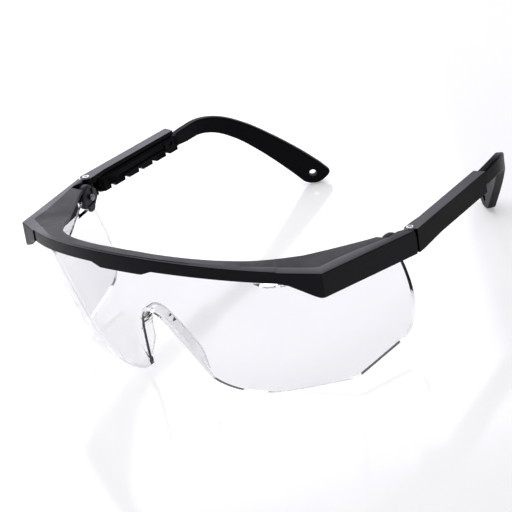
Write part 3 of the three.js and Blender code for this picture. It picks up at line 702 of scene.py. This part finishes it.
def lens_plan(z):
    """The outer face in plan, from the end of one shield round to the other's.

    The ridges between front and shields are slightly rounded.
    """
    edge = ridge(z)
    half = []
    steps = 44
    for i in range(steps + 1):
        half.append(lens_front((edge.x - RIDGE_EASE_FRONT) * i / steps, z))
    back = shield(edge.y + RIDGE_EASE_SIDE, z)
    near = half[-1]
    for t in (0.25, 0.5, 0.75):
        half.append(near * (1 - t) ** 2 + edge * (2 * t * (1 - t)) + back * t**2)
    half.append(back)
    for i in range(1, 25):
        half.append(shield(back.y + (SHIELD_END_Y - back.y) * i / 24, z))
    return [V(-p.x, p.y, p.z) for p in reversed(half[1:])] + half


def inward(line, reach):
    moved = []
    for i, p in enumerate(line):
        a, b = line[max(0, i - 1)], line[min(len(line) - 1, i + 1)]
        first = V(a.y - p.y, p.x - a.x, 0)
        second = V(p.y - b.y, b.x - p.x, 0)
        if first.length < 1e-9:
            first = second.copy()
        if second.length < 1e-9:
            second = first.copy()
        first.normalize()
        second.normalize()
        normal = (first + second).normalized()
        moved.append(p + normal * (reach / max(0.5, normal.dot(first))))
    return moved


def bezier(p0, p1, p2, p3, steps):
    out = []
    for i in range(1, steps + 1):
        t = i / steps
        a, b, c, d = (1 - t) ** 3, 3 * t * (1 - t) ** 2, 3 * t**2 * (1 - t), t**3
        out.append(tuple(a * q + b * r + c * s + d * w for q, r, s, w in zip(p0, p1, p2, p3)))
    return out


def quadratic(p0, p1, p2, steps):
    c1 = tuple(a + (b - a) * 2 / 3 for a, b in zip(p0, p1))
    c2 = tuple(a + (b - a) * 2 / 3 for a, b in zip(p2, p1))
    return bezier(p0, c1, c2, p2, steps)


def front_outline():
    wide = CORNER_X + 4
    half = []
    for i in range(0, 25):
        x = BROW_HALF * i / 24
        half.append((x, BROW_BOTTOM - BROW_FALL * (x / BROW_FALL_REACH) ** 2 + LENS_OVERLAP))
    half += [(CORNER_X - 6.5, SHELF_TOP), (wide, SHELF_TOP), (wide, RIDGE_BOTTOM_Z - 0.3)]
    at = (RIDGE_BOTTOM_X, RIDGE_BOTTOM_Z)
    half.append(at)
    low = (38.0, -LENS_DEPTH + 0.3)
    half += quadratic(at, (48, -54.9), low, 20)
    foot = (NOSE_HALF_BOTTOM, NOSE_BOTTOM_Z)
    half += bezier(low, (29, -LENS_DEPTH - 0.4), (20, -LENS_DEPTH + 0.8), foot, 26)
    shoulder = (4.6, NOSE_TOP_Z - 3.6)
    half += bezier(foot, (11, -39.5), (7.5, -28.5), shoulder, 26)
    half += bezier(shoulder, (NOSE_HALF_TOP, NOSE_TOP_Z - 0.6), (1.6, NOSE_TOP_Z), (0, NOSE_TOP_Z), 10)
    return half + [(-x, z) for x, z in reversed(half[1:-1])]


def shield_outline():
    points = [(-60, 20), (SHELF_END, 20), (SHELF_END, SHIELD_TOP_Z), (42.6, SHIELD_TOP_Z)]
    points += bezier((42.6, SHIELD_TOP_Z), (45.4, -19), (48.8, -28), (48.6, -35), 18)
    points += bezier((48.6, -35), (48.4, -42.5), (46, -45.4), (41.2, -46.8), 14)
    points += [(20, RIDGE_BOTTOM_Z + 0.6), (17.9, RIDGE_BOTTOM_Z - 0.1), (17.9, -70), (-60, -70)]
    return points


def nose_flange():
    arch = [p for p in front_outline() if abs(p[0]) <= NOSE_HALF_BOTTOM - 0.1 and p[1] < NOSE_TOP_Z + 0.1]
    arch.sort(key=lambda p: p[0])
    rings = []
    for i, (x, z) in enumerate(arch):
        a, b = arch[max(0, i - 1)], arch[min(len(arch) - 1, i + 1)]
        along = V(b[0] - a[0], 0, b[1] - a[1]).normalized()
        away = V(along.z, 0, -along.x)
        if away.z < 0:
            away = -away
        edge = lens_front(x, z)
        share = min(1.0, max(0.0, (z - NOSE_BOTTOM_Z) / 14))
        depth = NOSE_FLANGE * (0.18 + 0.82 * share * share * (3 - 2 * share))
        depth = max(depth, LENS_WALL * 0.9)
        near = edge + V(0, 0.1, 0)
        far = near + away * 1.3
        rings.append([near, far, far + V(0, depth, 0), near + V(0, depth, 0)])
    return loft("nose_flange", rings)


def shelf():
    z = SHELF_TOP - SHELF_WALL / 2
    outer = [lens_front(x, z) for x in (50, 52, 54, 56, 58, 60, 62, 64)] + [ridge(z)]
    outer += [shield(y, z) for y in (10, 16, 24, SHELF_END)]
    points = [(p.x - 0.6, p.y + 0.4) for p in outer]
    ribs = brow_ribs()
    rims = [r[2] for r in ribs if r[2].y < TILT_U - 8.4 and r[2].x > 43]
    rims.sort(key=lambda p: p.y)
    points.append((rims[-1].x + 1.2, SHELF_END))
    points += [(p.x - 0.55, p.y + 0.35) for p in reversed(rims)]
    return prism("shelf", points, SHELF_TOP - SHELF_WALL, SHELF_TOP, ORIGIN, LEFT, REAR, UP)


def lens():
    rings = []
    for z in [9, 1, -7, -15, -23, -31, -39, -47, RIDGE_BOTTOM_Z - 8]:
        outer = lens_plan(z)
        rings.append(outer + list(reversed(inward(outer, LENS_WALL))))
    body = loft("lens_visual", rings)
    keep(body, prism("t", front_outline(), -90, 90, ORIGIN, LEFT, UP, -REAR))
    keep(body, prism("t", shield_outline(), -120, 120, ORIGIN, REAR, UP, LEFT))
    join(body, nose_flange())
    plate = shelf()
    cut(plate, lens_rail(0.12, -20, 0))
    on_both_sides(join, body, plate)
    soften(body, 0.28, 40, 3)
    return smooth(body, 35)


# ------------------------------------------------------------------ hinge block and pins


def hinge_block():
    origin = on_shell(TILT_U, 0, TILT_Z)
    o, i = BLOCK_OUTER, BLOCK_INNER
    disc = lathe(
        "hinge_block_visual",
        [
            (0, i), (3.6, i), (4.5, i + 0.25), (4.9, i + 0.7), (DISC_R, i + 1.2),
            (DISC_R, o - 1.2), (4.9, o - 0.7), (4.5, o - 0.25), (3.6, o), (0, o),
        ],
        origin, WALL_N, 64,
    )
    arm_top, arm_bottom = BARREL_TOP - TILT_Z - 0.2, BARREL_BOTTOM - TILT_Z + 0.2
    arm = prism(
        "t", [(2.2, 2.0), (5.1, arm_top), (5.1, arm_bottom), (2.2, -3.9)],
        i + 0.1, o - 0.1, origin, WALL_U, UP, WALL_N,
    )
    bump = prism(
        "t", [(-2.4, -3.2), (-1.8, -4.9), (-1.2, -5.9), (1.2, -5.9), (1.9, -4.9), (2.7, -3.0)],
        i - 0.6, i + 0.8, origin, WALL_U, UP, WALL_N,
    )
    pad = prism(
        "t", [(1.7, 3.3), (4.5, 2.0), (4.8, -1.7), (2.3, -4.0)],
        i - 0.6, i + 0.3, origin, WALL_U, UP, WALL_N,
    )
    barrel = rod("t", BARREL_R, BARREL_BOTTOM, BARREL_TOP, FOLD_PIN, UP, 48)
    neck = prism("t", NECK_PLAN, BARREL_BOTTOM + 0.1, BARREL_TOP - 0.1, CORNER, WALL_U, WALL_N, UP)
    join(disc, arm, bump, pad, neck, barrel)
    cut(
        disc,
        rod("t", PIN_R + BORE_ROOM, -40, 20, FOLD_PIN, UP, 40),
        rod("t", TILT_PIN_R + BORE_ROOM, -30, 20, origin, WALL_N, 40),
    )
    soften(disc, 0.16, 35, 2)
    return smooth(disc, 40)


def tilt_pin():
    origin = on_shell(TILT_U, 0, TILT_Z)
    start = BLOCK_INNER - 1.6
    body = lathe(
        "tilt_pin_visual",
        [
            (0, start - 0.12), (0.5, start - 0.08), (1.0, start + 0.02),
            (TILT_HEAD_R - 0.15, start + 0.18),
            (TILT_HEAD_R, start + 0.4), (TILT_HEAD_R, start + 0.66), (TILT_HEAD_R - 0.05, start + 0.7),
            (TILT_PIN_R, start + 0.7), (TILT_PIN_R, -SHELL_WALL - 0.5), (0, -SHELL_WALL - 0.5),
        ],
        origin, WALL_N, 48,
    )
    return smooth(body, 38)


def hinge_pin():
    top = HOUSING_TOP + RIVET_H
    low = HOUSING_BOTTOM - 0.2
    body = lathe(
        "hinge_pin_visual",
        [
            (0, low), (PIN_R - 0.12, low), (PIN_R, low + 0.12), (PIN_R, HOUSING_TOP + SNUG),
            (RIVET_R - 0.05, HOUSING_TOP + SNUG), (RIVET_R, HOUSING_TOP + 0.09), (RIVET_R, top - 0.22),
            (RIVET_R - 0.08, top - 0.08), (RIVET_R - 0.24, top), (0.82, top), (0.72, top - 0.03),
            (0.66, top - 0.14), (0.58, top - 0.9), (0.4, top - 1.05), (0, top - 1.1),
        ],
        FOLD_PIN, UP, 56,
    )
    return smooth(body, 38)


# ------------------------------------------------------------------ temples


def temple_housing():
    outer, rear = KNUCKLE_R, KNUCKLE_R - HOUSING_REAR
    plan = [(HOUSING_LENGTH + 0.6, outer), (-SKIN_LEAD, outer)]
    for k in range(1, 28):
        t = math.pi / 2 + math.pi * k / 28
        plan.append((EAR_R * math.cos(t), EAR_R * math.sin(t)))
    plan.append((0, -EAR_R))
    plan += quadratic((0, -EAR_R), (4, -EAR_R), (9, rear), 14)
    plan += [(HOUSING_LENGTH, rear)]
    origin = V(FOLD_PIN.x, FOLD_PIN.y, 0)
    body = prism(
        "temple_housing_visual", plan, HOUSING_BOTTOM, HOUSING_TOP, origin, TEMPLE_V, TEMPLE_M, UP
    )
    wall = outer - HOUSING_WALL
    deeper = SHELL_HEIGHT - HOUSING_HEIGHT
    chin = [
        (-SKIN_LEAD, HOUSING_BOTTOM + 0.4),
        (-SKIN_LEAD, HOUSING_BOTTOM - deeper),
        (3, HOUSING_BOTTOM - deeper),
        (16, HOUSING_BOTTOM),
        (16, HOUSING_BOTTOM + 0.4),
    ]
    join(body, prism("t", chin, wall + 0.2, outer, origin, TEMPLE_V, UP, TEMPLE_M))
    top, bottom = HOUSING_TOP - HOUSING_FLANGE, HOUSING_BOTTOM + 0.8
    far = HOUSING_LENGTH + 5

    def block(v0, v1, m0, m1, z0, z1):
        plan = [(v0, m0), (v1, m0), (v1, m1), (v0, m1)]
        return prism("t", plan, z0, z1, origin, TEMPLE_V, TEMPLE_M, UP)

    cut(
        body,
        block(3.4, far, -far, wall, bottom, top),
        block(3.4, far, -far, wall - 1, HOUSING_BOTTOM - 5, bottom + 0.1),
        block(3.4, far, -0.1, wall - 0.1, top - 0.1, top + 0.9),
        rod("t", BARREL_R + ROOM, BARREL_BOTTOM - ROOM, BARREL_TOP + ROOM, origin, UP, 48),
    )
    neck = [on_shell(u, n, 0) - origin for u, n in NECK_PLAN]
    middle = sum(neck, V(0, 0, 0)) / len(neck)
    roomy = [middle + (p - middle) * (1 + ROOM / (p - middle).length) for p in neck]
    disc_at = on_shell(TILT_U, 0, TILT_Z) - origin
    for i in range(10):
        swing = Matrix.Rotation(-FOLD_STOP * i / 9, 3, "Z")
        points = [(p.x, p.y) for p in (swing @ q for q in roomy)]
        cut(
            body,
            prism("t", points, BARREL_BOTTOM - ROOM, BARREL_TOP + ROOM, origin, LEFT, REAR, UP),
            rod(
                "t", DISC_R + ROOM, BLOCK_INNER, BLOCK_OUTER + ROOM,
                origin + swing @ disc_at, swing @ WALL_N, 48,
            ),
        )
    cut(body, rod("t", PIN_R + SNUG, -40, 20, origin, UP, 40))
    body.data.materials.append(temple_finish)
    body.data.materials.append(painted_light_band_finish)
    # Up-facing flange tops get the second material, a painted lighter copy of the nylon for where the
    # light falls on them.
    for poly in body.data.polygons:
        on_top = poly.normal.z > 0.9 and poly.center.z > HOUSING_TOP - 0.1
        poly.material_index = 1 if on_top else 0
    soften(body, 0.22, 35, 3)
    return smooth(body, 40)


def hook_curve():
    z = HOUSING_TOP - 4.7
    points = [
        on_temple(HOUSING_LENGTH - 1, -0.65, z),
        on_temple(HOUSING_LENGTH + 2.4, -0.65, z),
        on_temple(HOUSING_LENGTH + 7, -0.65, z),
        V(72.6, 114.5, -6.7),
        V(69.3, 123, -9.0),
        V(63.8, 131, -14.4),
        V(56.9, 139, -22.8),
        V(49.6, 146, -32.0),
        V(44.2, 150.7, -39.2),
        V(40.9, 153.4, -43.9),
    ]
    heights = [STRIP_H - 0.1, 5.5, 6.3, 6.5, 6.9, 7.5, 8.6, 10.0, 10.8, 10.8]
    return catmull(points), heights, len(points) - 1


def hook_samples(count):
    """Evenly spaced (centre, direction, height, distance still to go) along the ear end."""
    at, heights, last = hook_curve()
    ts = np.linspace(0, last, 600)
    pts = [at(float(t)) for t in ts]
    run = np.concatenate([[0], np.cumsum([(b - a).length for a, b in zip(pts, pts[1:])])])
    total = float(run[-1])
    out = []
    for s in np.linspace(0, total, count):
        t = float(np.interp(s, run, ts))
        along = (at(min(last, t + 0.01)) - at(max(0.0, t - 0.01))).normalized()
        lifted = float(np.interp(t, range(last + 1), heights))
        out.append((at(t), along, lifted, total - float(s)))
    return out


def ring_at(centre, along, top, bottom, thin, corner):
    side = along.cross(UP).normalized()
    rise = side.cross(along).normalized()
    half = (top - bottom) / 2
    middle = centre + rise * (top + bottom) / 2
    points = []
    quarter = 5
    for sx, sy in ((1, 1), (1, -1), (-1, -1), (-1, 1)):
        for k in range(quarter):
            t = math.pi / 2 * k / (quarter - 1)
            if sx * sy > 0:
                dx, dy = math.sin(t), math.cos(t)
            else:
                dx, dy = math.cos(t), math.sin(t)
            a = sx * (thin - corner + corner * dx)
            b = sy * (half - corner + corner * dy)
            points.append(middle + side * a + rise * b)
    return points


def rounding(left, length):
    """How far a quarter ellipse has turned in, from 0 at its start to 1 at the tip."""
    if left >= length:
        return 0.0
    return 1 - math.sqrt(max(0.0, 1 - ((length - left) / length) ** 2))


def hook():
    """The ear end: its tip has a tight upper corner and a wide round lower one."""
    rings = []
    extra = [s for s in hook_samples(400) if s[3] < TIP_LENGTH]
    chosen = [s for s in hook_samples(80) if s[3] >= TIP_LENGTH] + extra[::2] + [extra[-1]]
    for centre, along, height, left in chosen:
        top = height / 2 - TIP_TIGHT * rounding(left, TIP_TIGHT)
        bottom = -height / 2 + (height - TIP_TIGHT - 1.0) * rounding(left, TIP_LENGTH)
        thin = HOOK_T / 2
        if left < TIP_THIN:
            thin *= math.sqrt(max(0.3, 1 - ((TIP_THIN - left) / TIP_THIN) ** 2 * 0.7))
        corner = min(0.75, (top - bottom) * 0.3, thin * 0.6)
        rings.append(ring_at(centre, along, top, bottom, thin, corner))
    return loft("temple_arm_visual", rings)


def temple_arm():
    origin = V(FOLD_PIN.x, FOLD_PIN.y, 0)
    outer = KNUCKLE_R - HOUSING_WALL - 0.4
    inner = outer - STRIP_T
    top = HOUSING_TOP - HOUSING_FLANGE - 0.4
    bottom = top - STRIP_H
    rear = HOUSING_LENGTH + 1

    def bar(rear_v, inner_m, outer_m, z0, z1):
        plan = [
            (STRIP_FRONT + LEAD_IN, inner_m), (rear_v, inner_m), (rear_v, outer_m),
            (STRIP_FRONT, outer_m), (STRIP_FRONT, min(outer_m - 0.1, inner_m + LEAD_IN)),
        ]
        return prism("t", plan, z0, z1, origin, TEMPLE_V, TEMPLE_M, UP)

    arm = bar(rear, inner, outer, bottom, top)
    arm.name = "temple_arm_visual"
    rail = bottom - NOTCH_D
    join(
        arm,
        bar(rear - 1, outer - 0.9, outer, top - 0.2, top + 0.6),
        bar(rear - 0.4, inner, inner + 0.72 * STRIP_T, rail, bottom + 0.2),
    )
    for i in range(NOTCHES):
        v = STRIP_FRONT + 5.3 + NOTCH_PITCH * i
        tooth = [
            (v, rail - 1), (v, bottom), (v + NOTCH_L * 0.55, bottom), (v + NOTCH_L + 0.8, rail - 1),
        ]
        cut(arm, prism("t", tooth, -6, 6, origin, TEMPLE_V, UP, TEMPLE_M))
    low = top - 2.3
    recess = []
    for v, first in ((RECESS_END, -math.pi / 2), (RECESS_START, math.pi / 2)):
        for k in range(17):
            t = first + math.pi * k / 16
            recess.append((v + RECESS_R * math.cos(t), low + RECESS_R * math.sin(t)))
    floor_m = inner + RECESS_DEPTH
    cut(arm, prism("t", recess, inner - 1, floor_m, origin, TEMPLE_V, UP, TEMPLE_M))
    cut(arm, rod("t", DIMPLE_R, inner - 1, floor_m, on_temple(DIMPLE_V, 0, low), TEMPLE_M, 32))
    soften(arm, 0.18, 35, 2)

    band = hook()
    samples = hook_samples(300)
    hole_left = HOLE_SHARE * samples[0][3]
    centre, along = min(samples, key=lambda s: abs(s[3] - hole_left))[:2]
    side = along.cross(UP).normalized()
    cut(band, rod("t", HOLE_R, -6, 6, centre, side, 48))
    soften(band, 0.25, 50, 3)
    join(arm, band)
    return smooth(arm, 40)


# ------------------------------------------------------------------ the pieces


def put(obj, name, material, body, node, slot):
    obj.name = name
    obj.data.name = name
    obj.data.transform(PLACE)
    obj.data.update()
    if not obj.data.materials:
        obj.data.materials.append(material)
    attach(obj, body)
    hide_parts(node)
    return obj


put(brow_frame(), "brow_frame_visual", frame_finish, "frame", "brow_frame", "frame_nylon")
lens_piece = put(lens(), "lens_visual", lens_finish, "frame", "lens", "lens_clear")
lens_piece.visible_shadow = False

for make, label, material, body, slot_name in (
    (hinge_block, "hinge_block", hinge_finish, "hinge", "frame_nylon"),
    (tilt_pin, "tilt_pin", dark_steel_finish, "frame", "pin_steel"),
    (hinge_pin, "hinge_pin", steel_finish, "housing", "pin_steel"),
    (temple_housing, "temple_housing", temple_finish, "housing", "frame_nylon"),
    (temple_arm, "temple_arm", temple_finish, "temple", "frame_nylon"),
):
    left = make()
    right = mirror_copy(left, "right")
    for mod in left.modifiers:
        twin = right.modifiers.new(mod.name, mod.type)
        twin.keep_sharp = mod.keep_sharp
        twin.weight = mod.weight
    for piece, side in ((left, "left"), (right, "right")):
        owner = body if body == "frame" else f"{body}_{side}"
        put(piece, f"{label}_{side}_visual", material, owner, f"{label}_{side}", slot_name)

# ------------------------------------------------------------------ floor, light, camera

floor_mesh = bpy.data.meshes.new("floor")
FLOOR_HALF = 3.0
floor_mesh.from_pydata(
    [(x * FLOOR_HALF, y * FLOOR_HALF, 0) for x, y in ((-1, -1), (1, -1), (1, 1), (-1, 1))],
    [], [(0, 1, 2, 3)],
)
floor = new_object("floor", floor_mesh)
floor_mat, floor_tree, floor_shader = node_material("floor_white")
floor_coords = floor_tree.nodes.new("ShaderNodeTexCoord").outputs["Object"]
floor_noise = noise(floor_tree, 6.0, 2.0, 0.5, floor_coords)
floor_colour = ramp(
    floor_tree, floor_noise.outputs["Fac"], [(0.3, (0.93, 0.93, 0.935)), (0.7, (0.95, 0.95, 0.955))]
)
link(floor_tree, floor_colour.outputs["Color"], floor_shader.inputs["Base Color"])
floor_shader.inputs["Roughness"].default_value = 0.12
floor_shader.inputs["Specular IOR Level"].default_value = 0.5
floor_shader.inputs["Emission Color"].default_value = (0.985, 0.98, 1.0, 1)
floor_shader.inputs["Emission Strength"].default_value = 0.31
floor.data.materials.append(floor_mat)

world = bpy.data.worlds.new("studio")
bpy.context.scene.world = world
world.use_nodes = True
background = next(n for n in world.node_tree.nodes if n.type == "BACKGROUND")
sky_tree = world.node_tree
direction = sky_tree.nodes.new("ShaderNodeTexCoord").outputs["Generated"]
split = sky_tree.nodes.new("ShaderNodeSeparateXYZ")
link(sky_tree, direction, split.inputs["Vector"])
sky = ramp(
    sky_tree, split.outputs["Z"],
    [
        (0.0, (0.86, 0.865, 0.88)), (0.12, (0.7, 0.7, 0.72)),
        (0.3, (0.14, 0.14, 0.15)), (1.0, (0.14, 0.14, 0.15)),
    ],
)
link(sky_tree, sky.outputs["Color"], background.inputs["Color"])
background.inputs["Strength"].default_value = 1.0


def area_light(name, place, aim, width, height, power, colour=(1, 1, 1)):
    data = bpy.data.lights.new(name, "AREA")
    data.shape = "RECTANGLE"
    data.size = width
    data.size_y = height
    data.energy = power
    data.color = colour
    lamp = bpy.data.objects.new(name, data)
    bpy.context.scene.collection.objects.link(lamp)
    lamp.location = place
    lamp.rotation_mode = "QUATERNION"
    lamp.rotation_quaternion = (Vector(aim) - Vector(place)).to_track_quat("-Z", "Y")


area_light("overhead", (0.0, 0.1, 1.1), (0, 0, 0), 1.6, 1.6, 8.6)
area_light("back", (-0.42, 0.34, 0.28), (0, 0, 0.02), 0.46, 0.3, 1.0, (0.92, 0.9, 1.0))
area_light("left", (-0.95, -0.15, 0.4), (0, 0, 0.03), 0.6, 0.5, 1.6)

AZIMUTH, ELEVATION, ROLL = math.radians(39.7), math.radians(24.3), math.radians(-9.15)
TARGET = V(11.1, 37.6, -19.55)
DISTANCE = 853.5
FOCAL_PX, PHOTO_PX, SENSOR_MM = 2252.0, 512.0, 36.0

back = V(
    math.sin(AZIMUTH) * math.cos(ELEVATION),
    -math.cos(AZIMUTH) * math.cos(ELEVATION),
    math.sin(ELEVATION),
)
right_way = V(math.cos(AZIMUTH), math.sin(AZIMUTH), 0)
up_way = back.cross(right_way)
axis_r = right_way * math.cos(ROLL) + up_way * math.sin(ROLL)
axis_u = right_way * -math.sin(ROLL) + up_way * math.cos(ROLL)
camera_data = bpy.data.cameras.new("camera")
camera_data.sensor_width = SENSOR_MM
camera_data.lens = FOCAL_PX * SENSOR_MM / PHOTO_PX
camera_data.clip_start = 0.05
camera_data.clip_end = 20.0
camera = bpy.data.objects.new("camera", camera_data)
bpy.context.scene.collection.objects.link(camera)
where = PLACE @ (TARGET + back * DISTANCE)
rotation = turn.to_3x3() @ Matrix((axis_r, axis_u, back)).transposed()
camera.matrix_world = Matrix.Translation(where) @ rotation.to_4x4()
bpy.context.scene.camera = camera
bpy.context.scene.view_settings.view_transform = "Standard"
